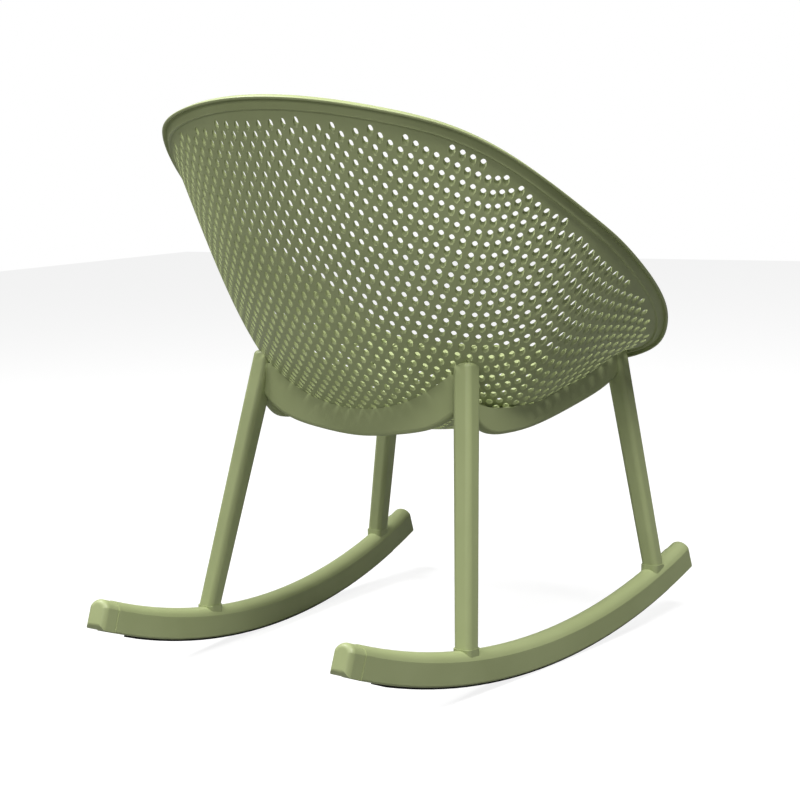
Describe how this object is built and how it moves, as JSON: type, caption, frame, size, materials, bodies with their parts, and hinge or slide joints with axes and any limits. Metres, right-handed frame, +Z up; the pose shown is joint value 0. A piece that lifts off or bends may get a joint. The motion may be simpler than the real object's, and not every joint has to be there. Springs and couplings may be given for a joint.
{
  "type": "rocking chair",
  "caption": "Moulded plastic rocking chair with a perforated low-backed tub seat on a one-piece leg base and two curved rockers with rubber treads.",
  "frame": {"origin": "on the floor under the middle of the overall box, with the empty chair at rest on its rockers", "axes": "+Z up, the front of the chair faces -Y, the sitter's left is +X"},
  "size_m": [0.5856, 0.6937, 0.6989],
  "materials": {
    "shell_plastic": "fine satin, olive green polypropylene",
    "base_plastic": "fine satin, olive green polypropylene",
    "tread_rubber": "matt black",
    "fastener_steel": "zinc plated",
    "insert_brass": "turned"
  },
  "bodies": {
    "root": {"seat_shell": "shell_plastic", "base_frame": "base_plastic", "rocker_left": "base_plastic", "rocker_right": "base_plastic", "end_cap_left_front": "base_plastic", "end_cap_left_rear": "base_plastic", "end_cap_right_front": "base_plastic", "end_cap_right_rear": "base_plastic", "tread_left": "tread_rubber", "tread_right": "tread_rubber", "leg_bolts": "fastener_steel", "leg_washers": "fastener_steel", "leg_inserts": "insert_brass", "shell_screws": "fastener_steel", "shell_washers": "fastener_steel", "shell_inserts": "insert_brass"}
  },
  "joints": []
}
